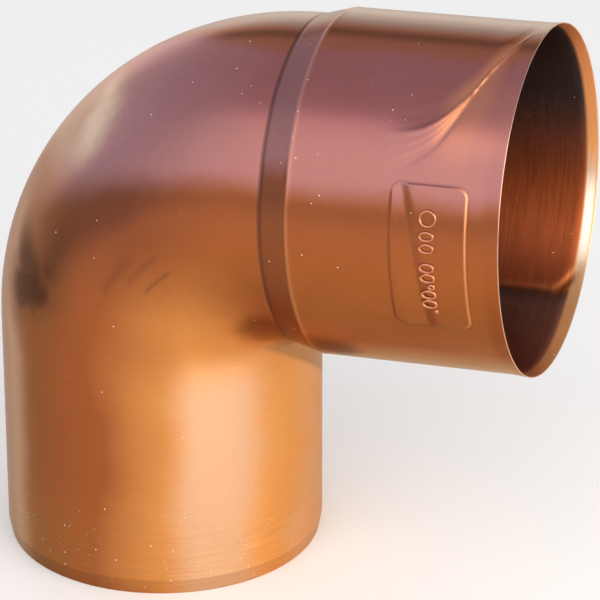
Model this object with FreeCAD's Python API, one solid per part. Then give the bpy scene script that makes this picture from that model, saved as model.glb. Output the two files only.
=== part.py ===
import FreeCAD, Part
import math
import os

# Downspout elbow: one piece of drawn copper sheet, open at both ends.
# Origin: centre of the spigot's open end. +Z runs up the spigot, +X points towards the socket.

# Joining sizes, in millimetres. Both ends are made for the same plain pipe.
pipe_diameter = 80.0  # outside of the pipe
sheet = 0.6  # wall of the elbow, and of the pipe
spigot_gap = 0.2  # radial gap between the spigot and the bore of the pipe below
socket_gap = 0.5  # radial gap between the socket and the pipe above

# Bend
turn = 87.5  # degrees between the spigot's axis and the socket's
throat_radius = 0.8  # inner side of the bend, on the outer skin

# Spigot: straight, with its last stretch swaged in so that it finds the pipe
spigot_length = 58.6  # rim to the start of the bend
lead_in_length = 4.0  # height of the swaged stretch
lead_in_step = 0.8  # how far it comes in at the rim
lead_in_rounding = 1.0  # outer skin, where the swaged stretch begins

# Socket: neck, conical shoulder, straight sleeve and a slightly opened mouth
neck_length = 1.8  # end of the bend to the shoulder
shoulder_length = 7.1  # along the axis
shoulder_crease = 3.0  # outer skin's rounding at the foot of the shoulder
shoulder_rounding = 5.0  # outer skin's rounding at the top of the shoulder
socket_length = 50.5  # top of the shoulder to the mouth
mouth_length = 3.6  # opened stretch
mouth_step = 0.34  # how far it opens at the mouth
mouth_rounding = 1.5  # outer skin, where the mouth begins to open

# Panel: a plain field with round corners, pressed out of the socket's side
panel_width = 17.8  # along the socket
panel_height = 34.4  # across the socket, seen square on
panel_corner = 2.5
panel_rise = 0.28
panel_step = 0.3  # width of the pressed step, from the recess inside to the field outside
panel_offset = 33.8  # top of the shoulder to the panel's middle

# Radii of the outer skin
spigot_radius = pipe_diameter / 2 - sheet - spigot_gap
socket_radius = pipe_diameter / 2 + socket_gap + sheet
bend_radius = spigot_radius + throat_radius  # of the bend's middle line

# Heights of the socket's features above the end of the bend
shoulder_foot = neck_length
shoulder_top = shoulder_foot + shoulder_length
mouth_start = shoulder_top + socket_length - mouth_length
mouth_end = shoulder_top + socket_length

spigot_axis = FreeCAD.Vector(0, 0, 1)
bend_start = FreeCAD.Vector(0, 0, spigot_length)
bend_centre = FreeCAD.Vector(bend_radius, 0, spigot_length)
bend_axis = FreeCAD.Vector(0, 1, 0)


def corner_arc(before, corner, after, rounding):
    """Arc of the given radius that rounds a corner of an outline, tangent to both of its sides."""
    to_before = (before - corner).normalize()
    to_after = (after - corner).normalize()
    half_angle = to_before.getAngle(to_after) / 2
    inwards = (to_before + to_after).normalize()
    centre = corner + inwards * (rounding / math.sin(half_angle))
    reach = rounding / math.tan(half_angle)
    return Part.Arc(corner + to_before * reach, centre - inwards * rounding, corner + to_after * reach)


def skin_line(corners):
    """The outer skin's line, from (radius, height, rounding) corners, run a little past both rims."""
    points = [FreeCAD.Vector(radius, 0, height) for radius, height, rounding in corners]
    points[0] += (points[0] - points[1]).normalize() * sheet
    points[-1] += (points[-1] - points[-2]).normalize() * sheet
    edges = []
    start = points[0]
    for i in range(1, len(corners) - 1):
        arc = corner_arc(points[i - 1], points[i], points[i + 1], corners[i][2])
        edges.append(Part.LineSegment(start, arc.StartPoint).toShape())
        edges.append(arc.toShape())
        start = arc.EndPoint
    edges.append(Part.LineSegment(start, points[-1]).toShape())
    return Part.Wire(edges)


def turned_wall(corners):
    """The outer skin's line thickened inwards by the sheet, turned about Z, with its rims cut square."""
    bottom = corners[0][1]
    top = corners[-1][1]
    section = skin_line(corners).makeOffset2D(sheet, fill=True, openResult=True)
    wall = section.revolve(FreeCAD.Vector(0, 0, 0), spigot_axis, 360)
    widest = max(radius for radius, height, rounding in corners) + sheet
    return wall.common(Part.makeCylinder(widest, top - bottom, FreeCAD.Vector(0, 0, bottom)))


def make_spigot():
    """Straight end that slips into the pipe below, narrower at its rim."""
    return turned_wall([
        (spigot_radius - lead_in_step, 0, 0),
        (spigot_radius, lead_in_length, lead_in_rounding),
        (spigot_radius, spigot_length, 0),
    ])


def make_bend():
    """The sheet's ring section, swung about the bend's centre."""
    outer = Part.Wire(Part.makeCircle(spigot_radius, bend_start, spigot_axis))
    inner = Part.Wire(Part.makeCircle(spigot_radius - sheet, bend_start, spigot_axis))
    ring = Part.Face(outer).cut(Part.Face(inner))
    return ring.revolve(bend_centre, bend_axis, turn)


def make_sleeve():
    """Neck, shoulder, sleeve and mouth, standing upright on the origin."""
    return turned_wall([
        (spigot_radius, 0, 0),
        (spigot_radius, shoulder_foot, shoulder_crease),
        (socket_radius, shoulder_top, shoulder_rounding),
        (socket_radius, mouth_start, mouth_rounding),
        (socket_radius + mouth_step, mouth_end, 0),
    ])


def panel_block(inset):
    """Block on the sleeve's -Y side with the panel's rounded outline, drawn in by the inset."""
    width = panel_width - 2 * inset
    height = panel_height - 2 * inset
    depth = socket_radius + 2 * panel_rise
    corner = FreeCAD.Vector(-height / 2, -depth, shoulder_top + panel_offset - width / 2)
    block = Part.makeBox(height, depth, width, corner)
    upright = [edge for edge in block.Edges if abs(edge.tangentAt(0).y) > 0.5]
    return block.makeFillet(panel_corner - inset, upright)


def panel_layer(inset, inner_radius, outer_radius):
    """The part of the panel's block between two radii about the sleeve's axis."""
    outer = Part.makeCylinder(outer_radius, mouth_end)
    inner = Part.makeCylinder(inner_radius, mouth_end)
    return panel_block(inset).common(outer.cut(inner))


def make_socket():
    """The sleeve with its panel: raised outside, and recessed inside by as much."""
    bore_radius = socket_radius - sheet
    field = panel_layer(0, socket_radius - sheet / 2, socket_radius + panel_rise)
    recess = panel_layer(panel_step, bore_radius - panel_rise, bore_radius + panel_rise)
    return make_sleeve().fuse(field).cut(recess)


def make_elbow():
    """Spigot, bend and socket joined along their ring sections into one sheet."""
    socket = make_socket()
    socket.translate(bend_start)
    socket.rotate(bend_centre, bend_axis, turn)
    return make_spigot().fuse([make_bend(), socket]).removeSplitter()


os.makedirs("parts", exist_ok=True)
make_elbow().exportStep("parts/elbow.step")
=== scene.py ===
import math
import bpy
from mathutils import Matrix, Vector


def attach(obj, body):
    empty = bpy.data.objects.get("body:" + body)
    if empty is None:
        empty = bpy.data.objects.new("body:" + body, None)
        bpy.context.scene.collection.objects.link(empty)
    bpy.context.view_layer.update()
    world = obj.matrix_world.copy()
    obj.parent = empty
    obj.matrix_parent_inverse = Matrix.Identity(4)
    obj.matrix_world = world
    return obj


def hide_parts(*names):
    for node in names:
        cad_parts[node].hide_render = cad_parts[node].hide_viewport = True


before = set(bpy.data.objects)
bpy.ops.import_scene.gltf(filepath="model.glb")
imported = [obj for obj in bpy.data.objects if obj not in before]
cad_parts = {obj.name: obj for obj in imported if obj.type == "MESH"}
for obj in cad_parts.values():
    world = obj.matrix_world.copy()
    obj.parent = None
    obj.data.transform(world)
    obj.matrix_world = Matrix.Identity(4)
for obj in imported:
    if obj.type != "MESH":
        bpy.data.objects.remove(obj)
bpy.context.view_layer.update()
mm = 0.001


# The studio: the elbow stands on its spigot's rim on a pale matt table, a little to the left
# of a large warm softbox, with a cool one hung over it and a dim wall of light on the left.
scene = bpy.context.scene
scene.view_settings.view_transform = "Standard"


def aimed(place, target, roll=0.0):
    """Turn something that looks down its own -Z from a place to a target."""
    look = (Vector(target) - Vector(place)).normalized()
    turned = look.to_track_quat("-Z", "Y").to_matrix().to_4x4()
    return Matrix.Translation(place) @ turned @ Matrix.Rotation(math.radians(roll), 4, "Z")


lens = bpy.data.cameras.new("camera")
lens.lens = 231.55
lens.sensor_width = 36.0
lens.clip_start = 0.05
lens.clip_end = 20.0
camera = bpy.data.objects.new("camera", lens)
camera.matrix_world = aimed((0.320814, -0.792873, 0.458254), (0.035802, 0.0, 0.066079), -0.091)
scene.collection.objects.link(camera)
scene.camera = camera


def softbox(name, place, target, width, height, colour, watts):
    """Hang a rectangular lamp and turn it towards the elbow."""
    lamp = bpy.data.lights.new(name, "AREA")
    lamp.shape = "RECTANGLE"
    lamp.size = width
    lamp.size_y = height
    lamp.color = colour
    lamp.energy = watts
    hung = bpy.data.objects.new(name, lamp)
    hung.matrix_world = aimed(place, target)
    scene.collection.objects.link(hung)


softbox("warm_softbox", (0.76, -0.40, 0.42), (0.02, 0.0, 0.05), 0.95, 0.7, (1.0, 0.97, 0.92), 6.0)
softbox("front_softbox", (-0.03, -0.92, 0.72), (0.05, 0.0, 0.08), 1.1, 1.2, (1.0, 0.96, 0.90), 4.9)
softbox("left_softbox", (-0.79, 0.28, 0.21), (0.0, 0.0, 0.1), 0.65, 0.16, (1.0, 0.97, 0.90), 0.42)
softbox("rim_softbox", (-0.55, 1.3, 0.30), (0.0, 0.0, 0.1), 1.4, 0.5, (1.0, 1.0, 1.0), 2.6)

world = bpy.data.worlds.new("studio_air")
world.use_nodes = True
world.node_tree.nodes["Background"].inputs["Color"].default_value = (0.93, 0.94, 0.97, 1.0)
world.node_tree.nodes["Background"].inputs["Strength"].default_value = 0.60
scene.world = world

half_table = 3.0
table_mesh = bpy.data.meshes.new("table")
table_mesh.from_pydata(
    [(-half_table, -half_table, 0.0), (half_table, -half_table, 0.0),
     (half_table, half_table, 0.0), (-half_table, half_table, 0.0)], [], [(0, 1, 2, 3)])
table = bpy.data.objects.new("table", table_mesh)
scene.collection.objects.link(table)
table_paint = bpy.data.materials.new("pale_table")
table_paint.use_nodes = True
table_paint.node_tree.nodes["Principled BSDF"].inputs["Base Color"].default_value = (0.88, 0.88, 0.88, 1.0)
table_paint.node_tree.nodes["Principled BSDF"].inputs["Roughness"].default_value = 0.9
table_seen = table_paint.node_tree.nodes.new("ShaderNodeLightPath")
table_white = table_paint.node_tree.nodes.new("ShaderNodeMath")
table_white.operation = "MAXIMUM"
table_paint.node_tree.links.new(table_seen.outputs["Is Camera Ray"], table_white.inputs[0])
table_paint.node_tree.links.new(table_seen.outputs["Is Glossy Ray"], table_white.inputs[1])
table_glow = table_paint.node_tree.nodes.new("ShaderNodeMath")
table_glow.operation = "MULTIPLY"
table_glow.inputs[1].default_value = 0.12
table_paint.node_tree.links.new(table_white.outputs[0], table_glow.inputs[0])
table_paint.node_tree.links.new(
    table_glow.outputs[0], table_paint.node_tree.nodes["Principled BSDF"].inputs["Emission Strength"])
table_paint.node_tree.nodes["Principled BSDF"].inputs["Emission Color"].default_value = (1.0, 1.0, 1.0, 1.0)
table_mesh.materials.append(table_paint)


# The elbow's sheet: one skin of copper 0.6 mm thick, drawn from a seamless tube. The spigot
# is straight, the bend follows its 40 mm axis, and the shoulder opens to the wider socket.
# It is drawn here as a flat blank, arc by path, which a rule then wraps round the elbow.
sheet = 0.6 * mm
spigot_radius = 39.2 * mm
socket_radius = 41.1 * mm
bend_radius = 40.0 * mm
turn = math.radians(87.5)
lead_in_length = 4.0 * mm
lead_in_step = 0.8 * mm
bend_start = 58.6 * mm
bend_end = bend_start + bend_radius * turn
shoulder_foot = bend_end + 1.8 * mm
shoulder_top = shoulder_foot + 7.1 * mm
mouth_end = shoulder_top + 50.5 * mm
mouth_start = mouth_end - 3.6 * mm
mouth_step = 0.34 * mm


def join(tree, socket, value):
    """Feed a node's input from another node's output, or set it to a plain value."""
    if isinstance(value, bpy.types.NodeSocket):
        tree.links.new(value, socket)
    else:
        socket.default_value = value


def maths(tree, operation, *values):
    """One arithmetic node on numbers."""
    node = tree.nodes.new("ShaderNodeMath")
    node.operation = operation
    for socket, value in zip(node.inputs, values):
        join(tree, socket, value)
    return node.outputs[0]


def slope(tree, value, start, end, low=0.0, high=1.0, kind="LINEAR"):
    """A value that rises from low to high as the one given passes from start to end."""
    node = tree.nodes.new("ShaderNodeMapRange")
    node.interpolation_type = kind
    for socket, given in zip(node.inputs, (value, start, end, low, high)):
        join(tree, socket, given)
    return node.outputs[0]


def total(tree, values):
    """The sum of several values."""
    result = values[0]
    for value in values[1:]:
        result = maths(tree, "ADD", result, value)
    return result


def split(tree, vector):
    """The three parts of a vector."""
    node = tree.nodes.new("ShaderNodeSeparateXYZ")
    join(tree, node.inputs[0], vector)
    return node.outputs[0], node.outputs[1], node.outputs[2]


def build(tree, x, y, z):
    """A vector made from its three parts."""
    node = tree.nodes.new("ShaderNodeCombineXYZ")
    for socket, value in zip(node.inputs, (x, y, z)):
        join(tree, socket, value)
    return node.outputs[0]


def new_tree(name, kind, inputs, outputs):
    """A node tree with named sockets, and its two end nodes."""
    tree = bpy.data.node_groups.new(name, kind)
    for label, socket_kind, value in inputs:
        socket = tree.interface.new_socket(label, in_out="INPUT", socket_type=socket_kind)
        if value is not None:
            socket.default_value = value
    for label, socket_kind in outputs:
        tree.interface.new_socket(label, in_out="OUTPUT", socket_type=socket_kind)
    return tree, tree.nodes.new("NodeGroupInput"), tree.nodes.new("NodeGroupOutput")


wrap, wrap_in, wrap_out = new_tree(
    "wrap round the elbow", "GeometryNodeTree",
    (("Flat", "NodeSocketVector", None),
     ("Spigot radius", "NodeSocketFloat", spigot_radius),
     ("Socket radius", "NodeSocketFloat", socket_radius),
     ("Bend radius", "NodeSocketFloat", bend_radius),
     ("Turn", "NodeSocketFloat", turn)),
    (("Place", "NodeSocketVector"),))
flat_arc, path, rise = split(wrap, wrap_in.outputs["Flat"])
angle = maths(wrap, "DIVIDE", flat_arc, wrap_in.outputs["Socket radius"])
past_start = maths(wrap, "SUBTRACT", path, bend_start)
bent = maths(wrap, "MAXIMUM", 0.0, maths(
    wrap, "MINIMUM", wrap_in.outputs["Turn"], maths(
        wrap, "DIVIDE", past_start, wrap_in.outputs["Bend radius"])))
straight = maths(wrap, "SUBTRACT", past_start, maths(
    wrap, "MULTIPLY", bent, wrap_in.outputs["Bend radius"]))
bend_sine = maths(wrap, "SINE", bent)
bend_cosine = maths(wrap, "COSINE", bent)
shoulder_climb = maths(wrap, "SUBTRACT", wrap_in.outputs["Socket radius"], wrap_in.outputs["Spigot radius"])
shoulder_share = maths(wrap, "DIVIDE", maths(wrap, "SUBTRACT", path, shoulder_foot), shoulder_top - shoulder_foot)
shoulder_share = maths(wrap, "SMOOTH_MAX", shoulder_share, 0.0, 0.07)
shoulder_share = maths(wrap, "SMOOTH_MIN", shoulder_share, 1.0, 0.09)
lead_in_share = maths(wrap, "SMOOTH_MIN", maths(wrap, "DIVIDE", path, lead_in_length), 1.0, 0.12)
mouth_share = maths(wrap, "SMOOTH_MAX", maths(
    wrap, "DIVIDE", maths(wrap, "SUBTRACT", path, mouth_start), mouth_end - mouth_start), 0.0, 0.4)


def bead(tree, value, middle, width):
    """A rounded bump, 1 high, that a value passes at the middle."""
    off = maths(tree, "DIVIDE", maths(tree, "SUBTRACT", value, middle), width)
    return maths(tree, "EXPONENT", maths(tree, "MULTIPLY", maths(tree, "MULTIPLY", off, off), -1.0))


crest = bead(wrap, path, shoulder_top, 0.55 * mm)
groove = bead(wrap, path, shoulder_foot, 0.5 * mm)
skin_radius = total(wrap, (
    wrap_in.outputs["Spigot radius"],
    maths(wrap, "MULTIPLY", maths(wrap, "SUBTRACT", lead_in_share, 1.0), lead_in_step),
    maths(wrap, "MULTIPLY", shoulder_share, shoulder_climb),
    maths(wrap, "MULTIPLY", mouth_share, mouth_step),
    maths(wrap, "MULTIPLY", crest, 0.09 * mm),
    maths(wrap, "MULTIPLY", groove, -0.07 * mm),
    rise))
angle_cosine = maths(wrap, "COSINE", angle)
lift = maths(wrap, "MULTIPLY", skin_radius, maths(wrap, "SINE", angle))
axis_x = total(wrap, (
    maths(wrap, "MULTIPLY", wrap_in.outputs["Bend radius"], maths(wrap, "SUBTRACT", 1.0, bend_cosine)),
    maths(wrap, "MULTIPLY", straight, bend_sine)))
axis_z = total(wrap, (
    bend_start,
    maths(wrap, "MULTIPLY", wrap_in.outputs["Bend radius"], bend_sine),
    maths(wrap, "MULTIPLY", straight, bend_cosine)))
join(wrap, wrap_out.inputs["Place"], build(
    wrap,
    maths(wrap, "SUBTRACT", axis_x, maths(wrap, "MULTIPLY", lift, bend_cosine)),
    maths(wrap, "MULTIPLY", maths(wrap, "MULTIPLY", skin_radius, angle_cosine), -1.0),
    total(wrap, (axis_z, maths(wrap, "MULTIPLY", lift, bend_sine)))))

# The blank's faces are close together where the metal has small forms, and wide elsewhere.
# Each run is a number of faces and where it ends: degrees round the tube from the far side,
# and millimetres along it, out over the skin, round the cut edge and back along the inside.
round_runs = ((12, -137.0), (30, -121.0), (24, -32.0), (6, -26.5), (26, -20.0), (46, 20.0), (26, 26.5), (6, 30.0), (84, 90.0), (25, 180.0))
skin_runs = ((10, 3.2), (6, 4.8), (10, 58.6), (42, 119.7), (6, 120.7), (9, 122.3), (9, 127.4),
             (12, 129.8), (4, 131.6), (21, 152.6), (21, 156.0), (30, 168.6), (20, 172.1), (8, 175.0),
             (5, 176.0), (8, 178.83))
inside_runs = ((4, 177.4), (10, 170.0), (16, 129.8), (6, 127.4), (6, 120.7), (22, 58.6), (8, 4.8), (8, 0.26))
edge_faces = 6
edge_round = 0.26 * mm
panel_centre = 33.8 * mm
panel_half_width = 8.9 * mm
panel_half_height = 17.7 * mm
panel_corner = 2.5 * mm
panel_rise = 0.28 * mm


def laid_out(tree, number, runs, first, unit):
    """Turn a face number into a place along the runs."""
    parts = []
    count = 0
    place = first
    for faces, end in runs:
        parts.append(slope(tree, number, count, count + faces, 0.0, (end - place) * unit))
        count += faces
        place = end
    return total(tree, parts), count


blank, blank_in, blank_out = new_tree(
    "drawn copper elbow", "GeometryNodeTree",
    (("Sheet", "NodeSocketFloat", sheet),
     ("Spigot radius", "NodeSocketFloat", spigot_radius),
     ("Socket radius", "NodeSocketFloat", socket_radius),
     ("Bend radius", "NodeSocketFloat", bend_radius),
     ("Turn", "NodeSocketFloat", turn),
     ("Panel rise", "NodeSocketFloat", panel_rise),
     ("Buckle depth", "NodeSocketFloat", 0.34 * mm),
     ("Finish", "NodeSocketMaterial", None)),
    (("Geometry", "NodeSocketGeometry"),))

round_faces = sum(faces for faces, end in round_runs)
skin_faces = sum(faces for faces, end in skin_runs)
inside_faces = sum(faces for faces, end in inside_runs)
long_faces = skin_faces + edge_faces + inside_faces + edge_faces
grid = blank.nodes.new("GeometryNodeMeshGrid")
grid.inputs["Size X"].default_value = round_faces
grid.inputs["Size Y"].default_value = long_faces
grid.inputs["Vertices X"].default_value = round_faces + 1
grid.inputs["Vertices Y"].default_value = long_faces + 1
grid_x, grid_y, grid_z = split(blank, blank.nodes.new("GeometryNodeInputPosition").outputs[0])
round_number = maths(blank, "ADD", grid_x, round_faces / 2)
long_number = maths(blank, "ADD", grid_y, long_faces / 2)
round_turned, count = laid_out(blank, round_number, round_runs, -180.0, math.pi / 180.0)
round_turned = maths(blank, "SUBTRACT", round_turned, math.pi)
arc = maths(blank, "MULTIPLY", round_turned, blank_in.outputs["Socket radius"])

out_path, count = laid_out(blank, long_number, skin_runs, 0.26, mm)
out_path = maths(blank, "ADD", out_path, edge_round)
mouth_turned = slope(blank, long_number, skin_faces, skin_faces + edge_faces, 0.0, math.pi)
back_number = maths(blank, "SUBTRACT", long_number, skin_faces + edge_faces)
back_path, count = laid_out(blank, back_number, inside_runs, skin_runs[-1][1], mm)
rim_turned = slope(blank, long_number, long_faces - edge_faces, long_faces, 0.0, math.pi)
along = total(blank, (
    out_path, back_path,
    maths(blank, "MULTIPLY", maths(blank, "SINE", mouth_turned), edge_round),
    maths(blank, "MULTIPLY", maths(blank, "SINE", rim_turned), -edge_round)))
depth_share = maths(blank, "MULTIPLY", 0.5, maths(
    blank, "SUBTRACT", maths(blank, "COSINE", rim_turned), maths(blank, "COSINE", mouth_turned)))
depth = maths(blank, "MULTIPLY", depth_share, blank_in.outputs["Sheet"])

# The forms of the blank, as heights over it: a plain field with round corners pressed out of
# the socket's side, a soft crease across that field, and the shallow buckle above it.
socket_place = maths(blank, "SUBTRACT", along, shoulder_top)
beside_width = maths(blank, "SUBTRACT", maths(blank, "ABSOLUTE", maths(
    blank, "SUBTRACT", socket_place, panel_centre)), panel_half_width - panel_corner)
beside_height = maths(blank, "SUBTRACT", maths(blank, "ABSOLUTE", arc), panel_half_height - panel_corner)
corner_reach = blank.nodes.new("ShaderNodeVectorMath")
corner_reach.operation = "LENGTH"
join(blank, corner_reach.inputs[0], build(
    blank, maths(blank, "MAXIMUM", beside_width, 0.0), maths(blank, "MAXIMUM", beside_height, 0.0), 0.0))
past_panel = total(blank, (
    corner_reach.outputs["Value"],
    maths(blank, "MINIMUM", 0.0, maths(blank, "MAXIMUM", beside_width, beside_height)),
    -panel_corner))
on_panel = slope(blank, past_panel, 0.33 * mm, -0.33 * mm, kind="SMOOTHSTEP")


def followed(tree, value, points):
    """A smooth line through a few points, as a Float Curve over their span."""
    xs = [x for x, y in points]
    ys = [y for x, y in points]
    node = tree.nodes.new("ShaderNodeFloatCurve")
    curve = node.mapping.curves[0]
    for number, (x, y) in enumerate(points):
        spot = ((x - xs[0]) / (xs[-1] - xs[0]), (y - min(ys)) / (max(ys) - min(ys)))
        if number == 0:
            curve.points[0].location = spot
        elif number == len(points) - 1:
            curve.points[len(curve.points) - 1].location = spot
        else:
            curve.points.new(*spot)
    node.mapping.update()
    join(tree, node.inputs["Value"], slope(tree, value, xs[0] * mm, xs[-1] * mm))
    return slope(tree, node.outputs[0], 0.0, 1.0, min(ys) * mm, max(ys) * mm)


crease_line = ((-17.6, 32.6), (-8.0, 31.6), (-2.4, 30.9), (6.3, 29.7), (14.0, 27.9), (17.6, 27.0))
past_crease = maths(blank, "SUBTRACT", socket_place, followed(blank, arc, crease_line))
crease_height = maths(blank, "ADD",
                      slope(blank, past_crease, -5.0 * mm, 0.0, 0.0, -0.26 * mm),
                      slope(blank, past_crease, 0.0, 2.2 * mm, 0.0, 0.26 * mm, "SMOOTHSTEP"))

upper_fold = ((20.0, 29.2), (28.7, 29.9), (33.05, 32.3), (37.0, 36.6), (39.15, 39.6), (42.0, 46.2),
              (44.1, 51.9), (48.0, 65.0))
lower_fold = ((20.0, 18.3), (28.3, 22.5), (33.1, 26.4), (36.4, 31.6), (39.1, 37.5), (42.0, 44.7),
              (44.1, 50.5), (48.0, 63.6))
squareness = slope(blank, socket_place, 28.0 * mm, 41.0 * mm, 0.94, 0.36)
above_upper = maths(blank, "MULTIPLY", squareness, maths(
    blank, "SUBTRACT", arc, followed(blank, socket_place, upper_fold)))
above_lower = maths(blank, "MULTIPLY", squareness, maths(
    blank, "SUBTRACT", arc, followed(blank, socket_place, lower_fold)))
fold_reach = maths(blank, "MULTIPLY",
                   slope(blank, socket_place, 20.0 * mm, 30.0 * mm, kind="SMOOTHSTEP"),
                   slope(blank, socket_place, 48.5 * mm, 42.5 * mm, kind="SMOOTHSTEP"))
dark_width = slope(blank, socket_place, 26.0 * mm, 40.0 * mm, 4.0 * mm, 0.8 * mm)
glow_width = 3.0 * mm
hollow = slope(blank, socket_place, 31.0 * mm, 38.0 * mm, 0.0, 0.7, "SMOOTHSTEP")
facet = maths(blank, "MINIMUM", 1.0, maths(blank, "MAXIMUM", 0.0, maths(
    blank, "DIVIDE", above_lower, maths(blank, "SUBTRACT", above_lower, above_upper))))
fold_foot = slope(blank, socket_place, 41.0 * mm, 36.0 * mm)
under_fold = maths(blank, "MULTIPLY", slope(blank, above_lower, -1.2 * mm, 0.0, 0.0, -0.5), fold_foot)
fold_rest = maths(blank, "MULTIPLY", maths(blank, "SUBTRACT", 1.0, fold_foot), slope(
    blank, above_upper, 1.0 * mm, 13.0 * mm, 0.0, -0.5, "SMOOTHSTEP"))
facet_ripple = maths(blank, "MULTIPLY", 0.11, maths(
    blank, "SINE", maths(blank, "MULTIPLY", facet, 7.0 * math.pi)))
facet_rise = maths(blank, "ADD", facet_ripple, maths(blank, "MULTIPLY", facet, 1.5))
dark_side = slope(blank, maths(blank, "DIVIDE", above_upper, dark_width), 0.0, 1.0)
dark_fall = maths(blank, "MULTIPLY", dark_side, maths(blank, "SUBTRACT", maths(
    blank, "MULTIPLY", hollow, -1.0), 1.0))
glow_side = slope(blank, maths(blank, "SUBTRACT", above_upper, dark_width), 0.0, glow_width, kind="SMOOTHSTEP")
glow_rise = maths(blank, "MULTIPLY", glow_side, hollow)
fold_shape = total(blank, (under_fold, facet_rise, dark_fall, glow_rise, fold_rest))
buckle_height = maths(blank, "MULTIPLY", maths(
    blank, "MULTIPLY", fold_shape, fold_reach), blank_in.outputs["Buckle depth"])
# Painted highlight lines across the buckle's facet.
facet_lines = maths(blank, "ADD", 0.55, maths(blank, "MULTIPLY", 0.45, maths(
    blank, "COSINE", maths(blank, "MULTIPLY", facet, 7.0 * math.pi))))
bright_facet = maths(blank, "MULTIPLY", facet_lines, maths(
    blank, "MULTIPLY", slope(blank, above_lower, -0.2 * mm, 0.3 * mm),
    slope(blank, above_upper, 0.2 * mm, -0.3 * mm)))
# Painted shade: a dark line in the buckle's upper crease, a band beside the panel's crease and a line round the panel's
# step.
dark_crease = maths(blank, "MULTIPLY", bead(blank, above_upper, 0.45 * mm, 0.45 * mm), fold_reach)
panel_shade = maths(blank, "MULTIPLY", maths(blank, "MULTIPLY", on_panel, 0.6), maths(
    blank, "MULTIPLY", slope(blank, past_crease, -0.25 * mm, 0.15 * mm, kind="SMOOTHSTEP"),
    slope(blank, past_crease, 3.4 * mm, 0.4 * mm)))
step_shade = maths(blank, "MULTIPLY", 0.95, bead(blank, past_panel, 0.36 * mm, 0.2 * mm))
# Painted highlights: on the panel's right step, and glows beside the buckle's upper crease.
step_highlight = maths(blank, "MULTIPLY", bead(blank, past_panel, -0.05 * mm, 0.22 * mm), maths(
    blank, "MULTIPLY", slope(blank, socket_place, 39.0 * mm, 42.0 * mm), slope(blank, arc, -17.0 * mm, 4.0 * mm)))
streak_glow = maths(blank, "ADD", maths(blank, "MULTIPLY", 0.42, bead(blank, above_upper, -0.4 * mm, 1.9 * mm)),
                    maths(blank, "MULTIPLY", 0.30, bead(blank, above_upper, -4.0 * mm, 2.8 * mm)))
soft_glow = maths(blank, "MULTIPLY", 0.5, maths(
    blank, "MULTIPLY", dark_side, maths(blank, "SUBTRACT", 1.0, glow_side)))
knuckle = bead(blank, along, 175.6 * mm, 2.8 * mm)
crease_arc = maths(blank, "SUBTRACT", -89.7 * mm, slope(
    blank, along, 172.6 * mm, 178.9 * mm, 0.0, 6.6 * mm, "SMOOTHSTEP"))
crease_share = maths(blank, "MULTIPLY", depth_share, slope(
    blank, along, mouth_start, mouth_start + 1.9 * mm, 1.0, 0.0, "SMOOTHSTEP"))
inner_crease = maths(blank, "MULTIPLY", maths(blank, "MULTIPLY", crease_share, maths(
    blank, "ADD", 0.10 * mm, maths(blank, "MULTIPLY", knuckle, 0.26 * mm))), bead(
        blank, arc, crease_arc, maths(blank, "ADD", 0.9 * mm, maths(blank, "MULTIPLY", knuckle, 0.9 * mm))))
thin_lip = maths(blank, "MULTIPLY", depth_share, slope(
    blank, along, mouth_start, mouth_end - edge_round, 0.0, 0.36 * mm))
height = total(blank, (
    inner_crease, thin_lip,
    maths(blank, "MULTIPLY", on_panel, maths(blank, "ADD", blank_in.outputs["Panel rise"], crease_height)),
    buckle_height,
    maths(blank, "MULTIPLY", depth, -1.0)))

# The painted highlights, kept as an attribute for the copper.
buckle_highlight = maths(blank, "ADD", step_highlight, maths(
    blank, "MULTIPLY", total(blank, (bright_facet, soft_glow, streak_glow)), maths(
        blank, "MULTIPLY", fold_reach, slope(blank, socket_place, 31.0 * mm, 38.0 * mm, kind="SMOOTHSTEP"))))

store_flat = blank.nodes.new("GeometryNodeStoreNamedAttribute")
store_flat.data_type = "FLOAT2"
store_flat.domain = "CORNER"
store_flat.inputs["Name"].default_value = "UVMap"
join(blank, store_flat.inputs["Geometry"], grid.outputs["Mesh"])
join(blank, store_flat.inputs["Value"], build(blank, arc, along, 0.0))
store_fold = blank.nodes.new("GeometryNodeStoreNamedAttribute")
store_fold.data_type = "FLOAT"
store_fold.domain = "POINT"
store_fold.inputs["Name"].default_value = "painted_fold_highlight"
join(blank, store_fold.inputs["Geometry"], store_flat.outputs["Geometry"])
join(blank, store_fold.inputs["Value"], buckle_highlight)
store_shade = blank.nodes.new("GeometryNodeStoreNamedAttribute")
store_shade.data_type = "FLOAT"
store_shade.domain = "POINT"
store_shade.inputs["Name"].default_value = "shade"
join(blank, store_shade.inputs["Geometry"], store_fold.outputs["Geometry"])
join(blank, store_shade.inputs["Value"], total(blank, (dark_crease, panel_shade, step_shade)))
store_inside = blank.nodes.new("GeometryNodeStoreNamedAttribute")
store_inside.data_type = "FLOAT"
store_inside.domain = "POINT"
store_inside.inputs["Name"].default_value = "inside"
join(blank, store_inside.inputs["Geometry"], store_shade.outputs["Geometry"])
join(blank, store_inside.inputs["Value"], depth_share)
wrapped = blank.nodes.new("GeometryNodeGroup")
wrapped.node_tree = wrap
join(blank, wrapped.inputs["Flat"], build(blank, arc, along, height))
for label in ("Spigot radius", "Socket radius", "Bend radius", "Turn"):
    join(blank, wrapped.inputs[label], blank_in.outputs[label])
placed = blank.nodes.new("GeometryNodeSetPosition")
join(blank, placed.inputs["Geometry"], store_inside.outputs["Geometry"])
join(blank, placed.inputs["Position"], wrapped.outputs["Place"])
closed = blank.nodes.new("GeometryNodeMergeByDistance")
closed.inputs["Distance"].default_value = 0.01 * mm
join(blank, closed.inputs["Geometry"], placed.outputs["Geometry"])
outward = blank.nodes.new("GeometryNodeFlipFaces")
join(blank, outward.inputs["Mesh"], closed.outputs["Geometry"])
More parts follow.
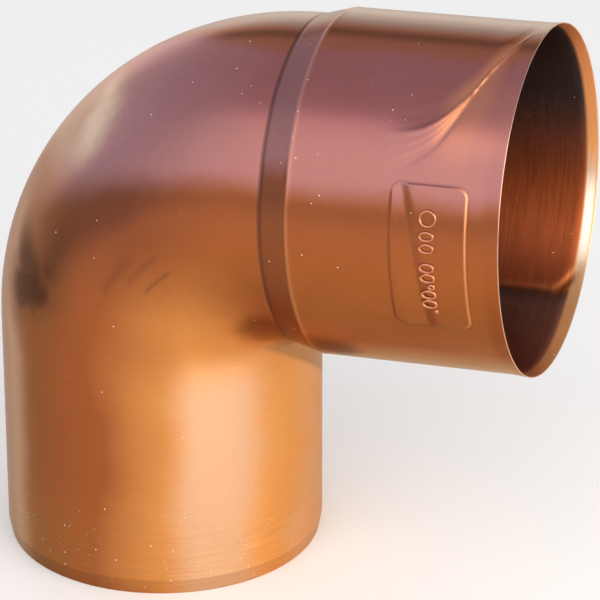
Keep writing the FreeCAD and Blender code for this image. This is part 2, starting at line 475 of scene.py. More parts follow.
smooth = blank.nodes.new("GeometryNodeSetShadeSmooth")
join(blank, smooth.inputs["Geometry"], outward.outputs["Mesh"])
realized = blank.nodes.new("GeometryNodeRealizeInstances")
join(blank, realized.inputs["Geometry"], smooth.outputs["Geometry"])
finished = blank.nodes.new("GeometryNodeSetMaterial")
join(blank, finished.inputs["Geometry"], realized.outputs["Geometry"])
join(blank, finished.inputs["Material"], blank_in.outputs["Finish"])
join(blank, blank_out.inputs["Geometry"], finished.outputs["Geometry"])



def mixed(tree, share, first, second):
    """One colour faded into another."""
    node = tree.nodes.new("ShaderNodeMix")
    node.data_type = "RGBA"
    join(tree, node.inputs[0], share)
    join(tree, node.inputs[6], first)
    join(tree, node.inputs[7], second)
    return node.outputs[2]


def noise(tree, place, scale, detail, roughness=0.5):
    """A soft random value between 0 and 1."""
    node = tree.nodes.new("ShaderNodeTexNoise")
    join(tree, node.inputs["Vector"], place)
    node.inputs["Scale"].default_value = scale
    node.inputs["Detail"].default_value = detail
    node.inputs["Roughness"].default_value = roughness
    return node.outputs["Fac"]


def stretched(tree, place, x, y, z):
    """A place with each of its directions scaled."""
    node = tree.nodes.new("ShaderNodeVectorMath")
    node.operation = "MULTIPLY"
    join(tree, node.inputs[0], place)
    node.inputs[1].default_value = (x, y, z)
    return node.outputs[0]


# The copper's colour: a brown film of oxide, with painted light laid over it by the way each face turns.
# Faces turned right go orange, part bare metal and part a painted reflection, with a pale painted highlight
# on the spigot; faces turned to the sky take a painted mauve sky reflection that greys on the bend's back and
# browns along the crown; painted shade darkens the bend's left, the undersides and the throat, and a
# painted shadow of the socket falls on the spigot.
film, film_in, film_out = new_tree(
    "oxide film and painted light", "ShaderNodeTree",
    (("Bare", "NodeSocketColor", (0.93, 0.39, 0.10, 1.0)),
     ("Painted highlight", "NodeSocketColor", (0.81, 0.455, 0.255, 1.0)),
     ("Brown", "NodeSocketColor", (0.39, 0.105, 0.026, 1.0)),
     ("Left shade", "NodeSocketColor", (0.25, 0.098, 0.029, 1.0)),
     ("Dust and underside shade", "NodeSocketColor", (0.55, 0.30, 0.08, 1.0)),
     ("Bloom", "NodeSocketColor", (0.39, 0.162, 0.148, 1.0)),
     ("Plum", "NodeSocketColor", (0.43, 0.153, 0.157, 1.0)),
     ("Mauve", "NodeSocketColor", (0.50, 0.245, 0.265, 1.0)),
     ("Beige", "NodeSocketColor", (0.52, 0.34, 0.26, 1.0)),
     ("Rose", "NodeSocketColor", (0.43, 0.225, 0.150, 1.0)),
     ("Cream", "NodeSocketColor", (0.88, 0.70, 0.54, 1.0)),
     ("Crown", "NodeSocketColor", (0.42, 0.135, 0.078, 1.0)),
     ("Dark", "NodeSocketColor", (0.085, 0.022, 0.008, 1.0)),
     ("Painted shade", "NodeSocketColor", (0.08, 0.012, 0.001, 1.0)),
     ("Warm", "NodeSocketColor", (0.95, 0.36, 0.08, 1.0)),
     ("Sand", "NodeSocketColor", (0.62, 0.40, 0.24, 1.0)),
     ("Socket shadow", "NodeSocketColor", (0.40, 0.19, 0.075, 1.0)),
     ("Crest", "NodeSocketColor", (0.41, 0.275, 0.215, 1.0)),
     ("Ash", "NodeSocketColor", (0.37, 0.315, 0.26, 1.0)),
     ("Pink", "NodeSocketColor", (0.63, 0.245, 0.195, 1.0))),
    (("Color", "NodeSocketColor"),))
film_place = film.nodes.new("ShaderNodeTexCoord").outputs["Object"]
film_x, film_y, film_z = split(film, film_place)
face_x, face_y, face_z = split(film, film.nodes.new("ShaderNodeNewGeometry").outputs["Normal"])
mottle = maths(film, "SUBTRACT", noise(film, film_place, 38.0, 3.0, 0.6), 0.5)
sand_turn = maths(film, "ADD", face_x, maths(film, "MULTIPLY", mottle, 0.07))
face_x = maths(film, "ADD", face_x, maths(film, "MULTIPLY", mottle, 0.22))
face_z = maths(film, "ADD", face_z, maths(film, "MULTIPLY", mottle, 0.06))
low_down = slope(film, film_z, 108.0 * mm, 68.0 * mm, kind="SMOOTHSTEP")


def window(tree, value, start, full, end, gone):
    """A band that fades in from start to full, and out from end to gone."""
    return maths(tree, "MULTIPLY", slope(tree, value, start, full, kind="SMOOTHSTEP"),
                 slope(tree, value, gone, end, kind="SMOOTHSTEP"))


def round_spot(tree, place, height_over, middle, full, gone):
    """A soft spot about a point, the same on both sides of the elbow where asked."""
    off = tree.nodes.new("ShaderNodeVectorMath")
    off.operation = "DISTANCE"
    join(tree, off.inputs[0], place)
    off.inputs[1].default_value = [length * mm for length in middle]
    return slope(tree, maths(tree, "ADD", off.outputs["Value"], height_over), gone * mm, full * mm, kind="SMOOTHSTEP")


# Faces turned right go orange: part bare metal, part a painted reflection of the light on that side.
bare_and_lit_from = slope(film, maths(film, "ABSOLUTE", maths(film, "SUBTRACT", film_z, 38.0 * mm)), 5.0 * mm, 20.0 * mm, 0.03, -0.09)
bare_and_lit_side = maths(film, "MULTIPLY", slope(film, face_x, bare_and_lit_from, 0.54), low_down)
bare_and_lit_side = maths(film, "MULTIPLY", bare_and_lit_side, maths(
    film, "SUBTRACT", 1.0, maths(film, "MULTIPLY", 0.38, bead(film, film_z, 65.0 * mm, 8.5 * mm))))
# Faces turned left are dulled to a dark olive: painted shade.
left_shade_side = maths(film, "MULTIPLY", 0.6, slope(film, face_x, -0.22, -0.46))
dusty_foot = slope(film, film_z, 28.0 * mm, 4.0 * mm, 0.0, 0.15)
# A pale painted highlight on the spigot's right-turned faces, below the socket.
painted_highlight_side = maths(film, "MULTIPLY", window(film, face_x, 0.34, 0.56, 0.74, 0.91), slope(
    film, film_z, 66.0 * mm, 50.0 * mm, kind="SMOOTHSTEP"))
near_side = slope(film, face_y, 0.15, -0.35, kind="SMOOTHSTEP")
# A sand band along the spigot's near left: a painted reflection.
sand_reflection_side = maths(film, "MULTIPLY", near_side, maths(film, "MULTIPLY", slope(film, film_z, 55.0 * mm, 72.0 * mm, 0.60, 0.48), bead(
    film, maths(film, "DIVIDE", maths(film, "ADD", sand_turn, slope(film, film_z, 55.0 * mm, 72.0 * mm, 0.70, 0.79)), slope(
        film, film_z, 55.0 * mm, 72.0 * mm, 0.095, 0.055)), 0.0, 1.0)))
# Faces turned to the sky take a painted sky reflection: mauve and plum, greyer to the left, pink near the mouth.
sky_turn = maths(film, "ADD", face_z, maths(film, "MULTIPLY", maths(
    film, "MAXIMUM", -0.33, maths(film, "MINIMUM", face_x, 0.0)), 0.30))
sky_side = maths(film, "ADD", slope(film, sky_turn, -0.12, 0.20, 0.0, 0.10),
                 slope(film, sky_turn, 0.24, 0.40, 0.0, 0.90, "SMOOTHSTEP"))
plum_side = slope(film, face_z, 0.56, 0.74, kind="SMOOTHSTEP")
left_side = slope(film, face_x, -0.05, -0.38)
# Faces turned far left and back take beige and rose: painted reflections of the light on the left.
back_reflection_side = slope(film, face_x, -0.42, -0.66)
back_low_reflection = maths(film, "MULTIPLY", 0.62, slope(film, face_x, -0.56, -0.90))
fine_mottle = maths(film, "SUBTRACT", noise(film, stretched(film, film_place, 1.0, 1.0, 0.3), 210.0, 3.0, 0.6), 0.5)
# A cream painted highlight streak up the bend's upper left.
cream_highlight = maths(film, "MULTIPLY", maths(film, "MULTIPLY", near_side, 0.75), maths(
    film, "MULTIPLY", bead(film, maths(film, "ADD", face_x, maths(film, "MULTIPLY", fine_mottle, 0.05)), -0.54, 0.062),
    window(film, film_z, 103.0 * mm, 113.5 * mm, 118.0 * mm, 124.0 * mm)))
rose_low = slope(film, film_z, 108.0 * mm, 99.0 * mm, kind="SMOOTHSTEP")
# A dark band below the sky-turned faces on the bend: a painted reflection. The bend also darkens towards its top.
brow = maths(film, "MULTIPLY", maths(
    film, "MULTIPLY", slope(film, film_x, 42.0 * mm, 26.0 * mm, 0.20, 0.30), slope(film, film_x, -19.0 * mm, -4.0 * mm)),
             window(film, face_z, 0.17, 0.27, 0.35, 0.46))
# Along the crown, a painted reflection: brown, with a dark painted band and a pale top strip on the far side.
crown_side = slope(film, face_z, slope(film, face_y, -0.10, 0.10, 0.91, 0.76), 0.965, kind="SMOOTHSTEP")
crown_far = slope(film, face_y, -0.13, -0.02, 0.0, 0.95, "SMOOTHSTEP")
crown_line = maths(film, "MULTIPLY", crown_side, maths(film, "MULTIPLY", 0.62, bead(film, face_y, -0.175, 0.055)))
# Undersides darken: painted shade.
under_side = maths(film, "MULTIPLY", window(film, face_z, -1.1, -0.75, -0.50, -0.02), slope(film, face_x, 0.35, 0.0, 0.12, 0.36))
deepening = maths(film, "MULTIPLY", maths(film, "ADD", 0.03, maths(
    film, "MULTIPLY", 0.34, window(film, film_x, -14.0 * mm, 8.0 * mm, 4.0 * mm, 36.0 * mm))),
                  slope(film, film_z, 68.0 * mm, 97.0 * mm, kind="SMOOTHSTEP"))
patchy = maths(film, "ADD", maths(film, "MULTIPLY", mottle, 0.008), maths(film, "MULTIPLY", fine_mottle, 0.004))
same_sides = build(film, film_x, maths(film, "ABSOLUTE", film_y), film_z)
# Painted shade in the throat between the bend and the socket, with a warmer orange painted into it nearby.
throat = maths(film, "MAXIMUM",
               maths(film, "MULTIPLY", 0.64, round_spot(film, same_sides, patchy, (38.2, 28.5, 70.3), 2.5, 10.5)),
               maths(film, "MULTIPLY", 0.78, round_spot(film, same_sides, patchy, (53.5, 28.0, 68.6), 2.0, 9.5)))
throat_warm = maths(film, "MULTIPLY", 0.25, round_spot(film, same_sides, patchy, (33.0, 24.0, 65.0), 3.0, 11.0))
# A painted shadow of the socket on the spigot's top, with a slanting lower edge.
socket_shadow_edge = maths(film, "SUBTRACT", 49.5 * mm, maths(film, "MULTIPLY", film_y, 0.63))
socket_shadow = maths(film, "MULTIPLY", maths(film, "MULTIPLY", 0.65, slope(
    film, maths(film, "SUBTRACT", film_z, socket_shadow_edge), -1.3 * mm, 0.7 * mm, kind="SMOOTHSTEP")), maths(
        film, "MULTIPLY", window(film, film_x, 33.0 * mm, 35.0 * mm, 41.0 * mm, 44.0 * mm), maths(
            film, "MULTIPLY", slope(film, film_z, 64.0 * mm, 61.0 * mm), slope(film, film_y, 16.0 * mm, 8.0 * mm))))
film_and_light_colour = mixed(film, bare_and_lit_side, film_in.outputs["Brown"], film_in.outputs["Bare"])
film_and_light_colour = mixed(film, painted_highlight_side, film_and_light_colour, film_in.outputs["Painted highlight"])
film_and_light_colour = mixed(film, left_shade_side, film_and_light_colour, film_in.outputs["Left shade"])
film_and_light_colour = mixed(film, dusty_foot, film_and_light_colour, film_in.outputs["Dust and underside shade"])
film_and_light_colour = mixed(film, back_low_reflection, film_and_light_colour, film_in.outputs["Beige"])
film_and_light_colour = mixed(film, sand_reflection_side, film_and_light_colour, film_in.outputs["Sand"])
# Faces turned hard right take a little cream: a painted highlight.
film_and_light_colour = mixed(film, slope(film, face_x, 0.95, 1.0, 0.0, 0.17), film_and_light_colour, film_in.outputs["Cream"])
film_and_light_colour = mixed(film, total(film, (deepening, brow)), film_and_light_colour, film_in.outputs["Dark"])
film_and_light_colour = mixed(film, under_side, film_and_light_colour, film_in.outputs["Painted shade"])
# Faces turned down take the dusty colour as painted underside shade.
film_and_light_colour = mixed(film, slope(film, face_z, -0.62, -0.84, 0.0, 0.85), film_and_light_colour, film_in.outputs["Dust and underside shade"])
sky_colour = mixed(film, plum_side, film_in.outputs["Bloom"], film_in.outputs["Plum"])
sky_colour = mixed(film, left_side, sky_colour, film_in.outputs["Mauve"])
mouth_side = maths(film, "MULTIPLY", slope(film, film_x, 80.0 * mm, 92.0 * mm, 0.0, 0.48, "SMOOTHSTEP"),
                   window(film, face_z, 0.50, 0.64, 0.80, 0.92))
sky_colour = mixed(film, mouth_side, sky_colour, film_in.outputs["Pink"])
# The painted reflection on the back: beige high up, rose lower down.
back_reflection_colour = mixed(film, rose_low, film_in.outputs["Beige"], film_in.outputs["Rose"])
sky_colour = mixed(film, back_reflection_side, sky_colour, back_reflection_colour)
sky_colour = mixed(film, cream_highlight, sky_colour, film_in.outputs["Cream"])
sky_colour = mixed(film, crown_side, sky_colour, film_in.outputs["Crown"])
sky_colour = mixed(film, crown_line, sky_colour, film_in.outputs["Dark"])
crest_colour = mixed(film, slope(film, face_y, -0.03, 0.12), film_in.outputs["Crest"], film_in.outputs["Ash"])
sky_colour = mixed(film, maths(film, "MULTIPLY", crown_side, crown_far), sky_colour, crest_colour)
film_and_light_colour = mixed(film, sky_side, film_and_light_colour, sky_colour)
film_and_light_colour = mixed(film, throat_warm, film_and_light_colour, film_in.outputs["Warm"])
film_and_light_colour = mixed(film, socket_shadow, film_and_light_colour, film_in.outputs["Socket shadow"])
film_and_light_colour = mixed(film, throat, film_and_light_colour, film_in.outputs["Painted shade"])
join(film, film_out.inputs["Color"], film_and_light_colour)

# Dust: pale specks a third of a millimetre across, thick near the spigot's rim and rare
# higher up. Drawing lines: fine scratches that run round the tube where it slid in its die.
dust, dust_in, dust_out = new_tree(
    "dust specks", "ShaderNodeTree",
    (("Size", "NodeSocketFloat", 0.14 * mm), ("Spacing", "NodeSocketFloat", 1.7 * mm)),
    (("Mask", "NodeSocketFloat"),))
dust_place = dust.nodes.new("ShaderNodeTexCoord").outputs["Object"]
dust_x, dust_y, dust_z = split(dust, dust_place)
cells = dust.nodes.new("ShaderNodeTexVoronoi")
join(dust, cells.inputs["Vector"], dust_place)
join(dust, cells.inputs["Scale"], maths(dust, "DIVIDE", 1.0, dust_in.outputs["Spacing"]))
reach = maths(dust, "MULTIPLY", cells.outputs["Distance"], dust_in.outputs["Spacing"])
luck = split(dust, cells.outputs["Color"])
share_kept = slope(dust, dust_z, 4.0 * mm, 26.0 * mm, 1.0, 0.075)
kept = maths(dust, "LESS_THAN", luck[0], share_kept)
speck_size = maths(dust, "MULTIPLY", dust_in.outputs["Size"], maths(dust, "ADD", 0.5, luck[1]))
speck = slope(dust, maths(dust, "DIVIDE", reach, speck_size), 1.2, 0.7)
join(dust, dust_out.inputs["Mask"], maths(dust, "MULTIPLY", speck, kept))

drawn, drawn_in, drawn_out = new_tree(
    "drawing lines", "ShaderNodeTree",
    (("Spacing", "NodeSocketFloat", 0.35 * mm), ("Length", "NodeSocketFloat", 14.0 * mm)),
    (("Lines", "NodeSocketFloat"),))
drawn_flat = drawn.nodes.new("ShaderNodeUVMap")
drawn_flat.uv_map = "UVMap"
drawn_x, drawn_y, drawn_z = split(drawn, drawn_flat.outputs[0])
drawn_angle = maths(drawn, "DIVIDE", drawn_x, socket_radius)
drawn_reach = maths(drawn, "DIVIDE", socket_radius, drawn_in.outputs["Length"])
drawn_place = build(drawn, maths(drawn, "MULTIPLY", maths(drawn, "COSINE", drawn_angle), drawn_reach),
                    maths(drawn, "MULTIPLY", maths(drawn, "SINE", drawn_angle), drawn_reach),
                    maths(drawn, "DIVIDE", drawn_y, drawn_in.outputs["Spacing"]))
join(drawn, drawn_out.inputs["Lines"], noise(drawn, drawn_place, 1.0, 4.0, 0.7))


def placed_group(tree, group, **values):
    """A copy of a shared effect in a tree, with its own values."""
    node = tree.nodes.new("ShaderNodeGroup")
    node.node_tree = group
    for label, value in values.items():
        join(tree, node.inputs[label], value)
    return node


copper = bpy.data.materials.new("drawn_copper")
copper.use_nodes = True
shading = copper.node_tree
metal = shading.nodes["Principled BSDF"]
metal.inputs["Anisotropic"].default_value = 0.75
metal.inputs["Anisotropic Rotation"].default_value = 0.25
metal.inputs["Coat Weight"].default_value = 0.06
metal.inputs["Coat Roughness"].default_value = 0.25
metal.inputs["Specular Tint"].default_value = (0.86, 0.74, 0.66, 1.0)
round_line = shading.nodes.new("ShaderNodeTangent")
round_line.direction_type = "UV_MAP"
round_line.uv_map = "UVMap"
join(shading, metal.inputs["Tangent"], round_line.outputs[0])

film_and_light_here = placed_group(shading, film).outputs["Color"]
painted_fold_highlight = shading.nodes.new("ShaderNodeAttribute")
painted_fold_highlight.attribute_name = "painted_fold_highlight"
shade = shading.nodes.new("ShaderNodeAttribute")
shade.attribute_name = "shade"
inside = shading.nodes.new("ShaderNodeAttribute")
inside.attribute_name = "inside"
flat_place = shading.nodes.new("ShaderNodeUVMap")
flat_place.uv_map = "UVMap"
flat_x, flat_y, flat_z = split(shading, flat_place.outputs[0])

# On the outer skin: the shoulder's cone is darker, a painted dark reflection, with painted shade along its
# foot and a painted highlight on its crest, the swaged end is darker, and the mandrel left short dark
# streaks on the bend.
cone = window(shading, flat_y, shoulder_foot - 0.9 * mm, shoulder_foot, shoulder_top - 0.9 * mm, shoulder_top - 0.2 * mm)
foot = window(shading, flat_y, shoulder_foot - 0.9 * mm, shoulder_foot - 0.3 * mm,
              shoulder_foot + 0.2 * mm, shoulder_foot + 0.8 * mm)
crest_highlight = window(shading, flat_y, shoulder_top - 0.5 * mm, shoulder_top - 0.1 * mm,
                    shoulder_top + 0.2 * mm, shoulder_top + 0.6 * mm)
swaged = slope(shading, flat_y, lead_in_length + 0.3 * mm, lead_in_length - 0.2 * mm, kind="SMOOTHSTEP")
streaks = total(shading, [
    maths(shading, "MULTIPLY", strength, maths(
        shading, "MULTIPLY", window(shading, flat_x, (middle - width) * mm, middle * mm, middle * mm, (middle + width) * mm),
        window(shading, flat_y, first * mm, (first + 2.5) * mm, (last - 2.5) * mm, last * mm)))
    for middle, width, first, last, strength in (
        (-3.9, 1.0, 84.0, 96.0, 0.34), (0.9, 1.4, 83.0, 96.0, 0.22), (4.4, 2.2, 77.0, 90.0, 0.2))])
# Painted shade on the cone, along its foot and in the buckle's and panel's creases, with the darker swaged end and the
# mandrel streaks.
dark_share = total(shading, (
    maths(shading, "MULTIPLY", cone, 0.30), maths(shading, "MULTIPLY", foot, 0.34),
    maths(shading, "MULTIPLY", swaged, 0.14), streaks,
    maths(shading, "MULTIPLY", shade.outputs["Fac"], 0.36)))
# A dark patch with arms on the bend's left: a painted reflection of something dark.
blob_arc = maths(shading, "DIVIDE", maths(shading, "SUBTRACT", flat_x, 26.9 * mm), 1.0 * mm)
blob_path = maths(shading, "DIVIDE", maths(shading, "SUBTRACT", flat_y, 68.6 * mm), 1.0 * mm)
blob_across = maths(shading, "SUBTRACT", maths(shading, "MULTIPLY", blob_path, 0.119), maths(
    shading, "MULTIPLY", blob_arc, 0.096))
blob_down = maths(shading, "ADD", maths(shading, "MULTIPLY", blob_path, 0.258), maths(
    shading, "MULTIPLY", blob_arc, 0.096))
smear = maths(shading, "MULTIPLY", maths(shading, "SUBTRACT", noise(
    shading, stretched(shading, flat_place.outputs[0], 1.0, 0.5, 1.0), 160.0, 3.0, 0.6), 0.5), 1.1)
blob = maths(shading, "ADD", maths(shading, "POWER", maths(shading, "ABSOLUTE", blob_across), 3.0), maths(
    shading, "POWER", maths(shading, "ABSOLUTE", blob_down), 3.0))
blob = maths(shading, "ADD", maths(shading, "POWER", blob, 1.0 / 3.0), maths(shading, "MULTIPLY", smear, 0.75))
halo = slope(shading, blob, 2.1, 1.0, 0.0, 0.24, "SMOOTHSTEP")
blob = slope(shading, blob, 1.42, 0.55, 0.0, 0.86, "SMOOTHSTEP")
smeared_path = maths(shading, "ADD", flat_y, maths(shading, "MULTIPLY", smear, 1.5 * mm))
arm_low = slope(shading, maths(shading, "SUBTRACT", smeared_path, maths(shading, "MULTIPLY", flat_x, 0.5)),
                51.8 * mm, 55.4 * mm, kind="SMOOTHSTEP")
arm_high = slope(shading, maths(shading, "SUBTRACT", smeared_path, maths(shading, "MULTIPLY", flat_x, 0.19)),
                 71.4 * mm, 66.8 * mm, kind="SMOOTHSTEP")
back_arm = maths(shading, "MULTIPLY", maths(shading, "MULTIPLY", arm_low, arm_high), maths(
    shading, "MULTIPLY", 0.77, window(shading, flat_x, 18.5 * mm, 25.0 * mm, 32.0 * mm, 43.0 * mm)))
front_arm = bead(shading, maths(shading, "ADD", flat_x, maths(shading, "MULTIPLY", smear, 3.0 * mm)), 21.0 * mm, 4.6 * mm)
front_arm = maths(shading, "MULTIPLY", front_arm, maths(
    shading, "ADD", maths(shading, "MULTIPLY", 0.46, window(shading, flat_y, 69.0 * mm, 74.0 * mm, 77.0 * mm, 90.0 * mm)),
    maths(shading, "MULTIPLY", 0.20, window(shading, flat_y, 67.0 * mm, 71.0 * mm, 73.0 * mm, 77.0 * mm))))
dark_reflection = maths(shading, "MAXIMUM", maths(shading, "MAXIMUM", blob, halo), maths(shading, "MAXIMUM", back_arm, front_arm))
skin_colour = mixed(shading, dark_reflection, film_and_light_here, (0.072, 0.024, 0.013, 1.0))
skin_colour = mixed(shading, dark_share, skin_colour, (0.07, 0.028, 0.024, 1.0))
# A painted highlight along the shoulder's crest.
skin_colour = mixed(shading, maths(shading, "MULTIPLY", crest_highlight, 0.16), skin_colour, (0.95, 0.48, 0.26, 1.0))
# The painted highlights along the buckle and the panel's step, in bright orange.
skin_colour = mixed(shading, maths(shading, "MULTIPLY", painted_fold_highlight.outputs["Fac"], 0.7), skin_colour, (1.0, 0.40, 0.18, 1.0))

# On the inside, painted light and shade: black painted shade, painted light in red down the far wall,
# dark again below a painted lit line along the inner crease, and a bright painted reflection, whitest in a
# painted highlight, on the band where the mouth was opened.
far_wall = maths(shading, "ADD", slope(shading, flat_x, 115.0 * mm, 143.2 * mm, kind="SMOOTHSTEP"),
                 maths(shading, "MULTIPLY", slope(shading, flat_x, -143.2 * mm, -115.0 * mm, kind="SMOOTHSTEP"),
                       slope(shading, flat_x, -86.0 * mm, -92.0 * mm)))
far_low = window(shading, flat_x, -116.0 * mm, -96.0 * mm, -90.5 * mm, -88.5 * mm)
low_wall = window(shading, flat_x, -90.0 * mm, -84.0 * mm, 0.0, 60.0 * mm)
inside_colour = mixed(shading, far_wall, (0.085, 0.068, 0.064, 1.0), (0.46, 0.11, 0.034, 1.0))
inside_colour = mixed(shading, far_low, inside_colour, (0.76, 0.18, 0.065, 1.0))
inside_colour = mixed(shading, low_wall, inside_colour, (0.42, 0.18, 0.13, 1.0))
lit_line_knuckle = bead(shading, flat_y, 175.6 * mm, 2.8 * mm)
painted_lit_line = bead(shading, flat_x, maths(
    shading, "SUBTRACT", -89.7 * mm, slope(shading, flat_y, 172.6 * mm, 178.9 * mm, 0.0, 6.6 * mm, "SMOOTHSTEP")), maths(
        shading, "ADD", 0.9 * mm, maths(shading, "MULTIPLY", lit_line_knuckle, 1.5 * mm)))
painted_lit_line = maths(shading, "MULTIPLY", painted_lit_line, maths(
    shading, "ADD", 0.5, maths(shading, "MULTIPLY", lit_line_knuckle, 0.5)))
inside_colour = mixed(shading, painted_lit_line, inside_colour, (1.0, 0.29, 0.085, 1.0))
opened = slope(shading, flat_y, mouth_start + 0.3 * mm, mouth_start + 1.4 * mm, kind="SMOOTHSTEP")
painted_mouth_highlight = maths(shading, "MULTIPLY", window(shading, flat_x, -128.0 * mm, -113.0 * mm, -102.0 * mm, -94.0 * mm),
                 window(shading, flat_y, mouth_start + 0.6 * mm, mouth_start + 1.2 * mm, mouth_end - 0.8 * mm, mouth_end - 0.2 * mm))
mouth_reflection_colour = mixed(shading, slope(shading, flat_x, -100.0 * mm, -84.0 * mm), (1.0, 0.60, 0.32, 1.0), (1.0, 0.50, 0.21, 1.0))
mouth_reflection_colour = mixed(shading, window(shading, flat_x, -108.0 * mm, -101.0 * mm, -30.0 * mm, 20.0 * mm), (0.98, 0.42, 0.15, 1.0), mouth_reflection_colour)
mouth_reflection_colour = mixed(shading, painted_mouth_highlight, mouth_reflection_colour, (1.0, 0.86, 0.72, 1.0))
inside_colour = mixed(shading, opened, inside_colour, mouth_reflection_colour)
lined = mixed(shading, inside.outputs["Fac"], skin_colour, inside_colour)
cut_edge = maths(shading, "MULTIPLY", inside.outputs["Fac"], maths(
    shading, "MULTIPLY", 3.2, maths(shading, "SUBTRACT", 1.0, inside.outputs["Fac"])))
lined = mixed(shading, cut_edge, lined, (0.95, 0.66, 0.50, 1.0))
specks = placed_group(shading, dust).outputs["Mask"]
lines = placed_group(shading, drawn).outputs["Lines"]
line_strength = maths(shading, "ADD", 0.25, maths(shading, "ADD",
                      slope(shading, flat_y, 30.0 * mm, 8.0 * mm, 0.0, 0.75, "SMOOTHSTEP"),
                      maths(shading, "MULTIPLY", inside.outputs["Fac"], 0.75)))
grain = maths(shading, "SUBTRACT", noise(shading, shading.nodes.new("ShaderNodeTexCoord").outputs["Object"], 1500.0, 1.0), 0.5)
line_shade = maths(shading, "ADD", maths(shading, "MULTIPLY", grain, 0.22), maths(
    shading, "MULTIPLY", maths(shading, "SUBTRACT", lines, 0.5), line_strength))
coloured = shading.nodes.new("ShaderNodeHueSaturation")
join(shading, coloured.inputs["Color"], lined)
join(shading, coloured.inputs["Value"], maths(shading, "ADD", 1.0, maths(shading, "MULTIPLY", line_shade, 0.5)))
join(shading, metal.inputs["Base Color"], mixed(shading, specks, coloured.outputs[0], (0.76, 0.64, 0.54, 1.0)))
join(shading, metal.inputs["Metallic"], maths(shading, "SUBTRACT", 1.0, specks))
join(shading, metal.inputs["Roughness"], total(shading, (
    0.38, maths(shading, "MULTIPLY", line_shade, 0.25), maths(shading, "MULTIPLY", specks, 0.4))))
bump = shading.nodes.new("ShaderNodeBump")
bump.inputs["Strength"].default_value = 0.35
bump.inputs["Distance"].default_value = 0.02 * mm
join(shading, bump.inputs["Height"], line_shade)
join(shading, metal.inputs["Normal"], bump.outputs[0])


def grown(name, tree, sizes):
    """Set a tree's named inputs, grow its mesh, and keep it as a plain piece."""
    seed = bpy.data.objects.new(name + "_seed", bpy.data.meshes.new(name + "_seed"))
    scene.collection.objects.link(seed)
    modifier = seed.modifiers.new("rule", "NODES")
    modifier.node_group = tree
    for item in tree.interface.items_tree:
        if item.in_out == "INPUT" and item.name in sizes:
            modifier[item.identifier] = sizes[item.name]
    shown = bpy.context.evaluated_depsgraph_get()
    shown.update()
    mesh = bpy.data.meshes.new_from_object(
        seed.evaluated_get(shown), preserve_all_data_layers=True, depsgraph=shown)
    bpy.data.objects.remove(seed)
    mesh.name = name
    piece = bpy.data.objects.new(name, mesh)
    scene.collection.objects.link(piece)
    return piece


elbow = grown("copper_elbow", blank, {
    "Sheet": sheet, "Spigot radius": spigot_radius, "Socket radius": socket_radius,
    "Bend radius": bend_radius, "Turn": turn, "Panel rise": panel_rise,
    "Buckle depth": 0.34 * mm, "Finish": copper})
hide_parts("elbow")
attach(elbow, "root")


# The stamped marks: a column of plain rings, ovals and a dot, struck up from the panel's
# field along its height. Each is a rounded ridge half a millimetre wide in the same copper.
stroke = 0.8 * mm
mark_line = panel_centre + shoulder_top
rings = (
    (10.2, 0.0, 1.75, 1.85), (6.1, -0.2, 0.95, 1.6), (3.3, -0.2, 0.95, 1.6), (-1.4, -0.2, 0.95, 1.6),
    (-3.9, -0.1, 0.95, 1.6), (-6.1, 0.7, 0.5, 0.65), (-8.2, -0.1, 0.95, 1.6), (-10.8, -0.1, 0.95, 1.6))
dot_place = (-12.9, 1.2)
dot_radius = 0.6 * mm

marks, marks_in, marks_out = new_tree(
    "stamped marks", "GeometryNodeTree",
    (("Stroke", "NodeSocketFloat", stroke),
     ("Dot radius", "NodeSocketFloat", dot_radius),
     ("Panel rise", "NodeSocketFloat", panel_rise),
     ("Finish", "NodeSocketMaterial", None)),
    (("Geometry", "NodeSocketGeometry"),))
ring_lines = marks.nodes.new("GeometryNodeJoinGeometry")
for ring_arc, ring_path, half_height, half_width in rings:
    ring = marks.nodes.new("GeometryNodeCurvePrimitiveCircle")
    ring.inputs["Resolution"].default_value = 32
    ring.inputs["Radius"].default_value = 1.0
    laid = marks.nodes.new("GeometryNodeTransform")
    join(marks, laid.inputs["Geometry"], ring.outputs["Curve"])
    laid.inputs["Translation"].default_value = (ring_arc * mm, mark_line + ring_path * mm, 0.0)
    laid.inputs["Scale"].default_value = (half_height * mm, half_width * mm, 1.0)
    join(marks, ring_lines.inputs["Geometry"], laid.outputs["Geometry"])
ridge = marks.nodes.new("GeometryNodeCurvePrimitiveCircle")
ridge.inputs["Resolution"].default_value = 10
join(marks, ridge.inputs["Radius"], maths(marks, "MULTIPLY", marks_in.outputs["Stroke"], 0.5))
ridges = marks.nodes.new("GeometryNodeCurveToMesh")
join(marks, ridges.inputs["Curve"], ring_lines.outputs["Geometry"])
join(marks, ridges.inputs["Profile Curve"], ridge.outputs["Curve"])
dot = marks.nodes.new("GeometryNodeMeshUVSphere")
dot.inputs["Segments"].default_value = 16
dot.inputs["Rings"].default_value = 8
join(marks, dot.inputs["Radius"], marks_in.outputs["Dot radius"])
dot_laid = marks.nodes.new("GeometryNodeTransform")
join(marks, dot_laid.inputs["Geometry"], dot.outputs["Mesh"])
dot_laid.inputs["Translation"].default_value = (dot_place[0] * mm, mark_line + dot_place[1] * mm, 0.0)
dot_laid.inputs["Scale"].default_value = (1.0, 1.0, 0.5)
all_marks = marks.nodes.new("GeometryNodeJoinGeometry")
join(marks, all_marks.inputs["Geometry"], ridges.outputs["Mesh"])
join(marks, all_marks.inputs["Geometry"], dot_laid.outputs["Geometry"])
mark_arc, mark_path, mark_rise = split(marks, marks.nodes.new("GeometryNodeInputPosition").outputs[0])
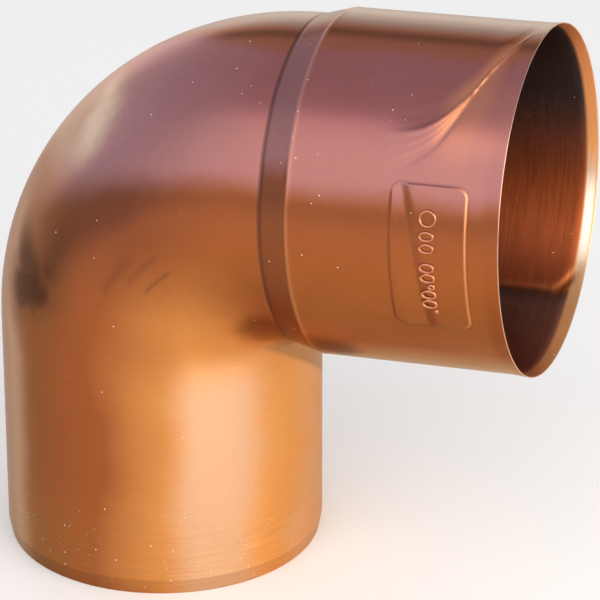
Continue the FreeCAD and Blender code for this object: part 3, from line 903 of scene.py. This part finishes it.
mark_wrap = marks.nodes.new("GeometryNodeGroup")
mark_wrap.node_tree = wrap
join(marks, mark_wrap.inputs["Flat"], build(
    marks, mark_arc, mark_path, maths(marks, "ADD", mark_rise, marks_in.outputs["Panel rise"])))
struck = marks.nodes.new("GeometryNodeSetPosition")
join(marks, struck.inputs["Geometry"], all_marks.outputs["Geometry"])
join(marks, struck.inputs["Position"], mark_wrap.outputs["Place"])
mark_smooth = marks.nodes.new("GeometryNodeSetShadeSmooth")
join(marks, mark_smooth.inputs["Geometry"], struck.outputs["Geometry"])
mark_flip = marks.nodes.new("GeometryNodeFlipFaces")
join(marks, mark_flip.inputs["Mesh"], mark_smooth.outputs["Geometry"])
mark_real = marks.nodes.new("GeometryNodeRealizeInstances")
join(marks, mark_real.inputs["Geometry"], mark_flip.outputs["Mesh"])
mark_finish = marks.nodes.new("GeometryNodeSetMaterial")
join(marks, mark_finish.inputs["Geometry"], mark_real.outputs["Geometry"])
join(marks, mark_finish.inputs["Material"], marks_in.outputs["Finish"])
join(marks, marks_out.inputs["Geometry"], mark_finish.outputs["Geometry"])

struck_copper = bpy.data.materials.new("struck_copper")
struck_copper.use_nodes = True
struck_shading = struck_copper.node_tree
struck_metal = struck_shading.nodes["Principled BSDF"]
struck_metal.inputs["Metallic"].default_value = 1.0
struck_metal.inputs["Roughness"].default_value = 0.28
struck_metal.inputs["Coat Weight"].default_value = 0.12
struck_metal.inputs["Coat Roughness"].default_value = 0.25
# The marks take the film group's oxide and painted light, with their own colours.
struck_film_and_light = placed_group(struck_shading, film, Brown=(0.60, 0.20, 0.08, 1.0), Bloom=(0.62, 0.26, 0.15, 1.0),
                           Mauve=(0.50, 0.18, 0.09, 1.0), Bare=(0.95, 0.50, 0.24, 1.0)).outputs["Color"]
join(struck_shading, struck_metal.inputs["Base Color"], struck_film_and_light)

stamped = grown("stamped_marks", marks, {
    "Stroke": stroke, "Dot radius": dot_radius, "Panel rise": panel_rise, "Finish": struck_copper})
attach(stamped, "root")
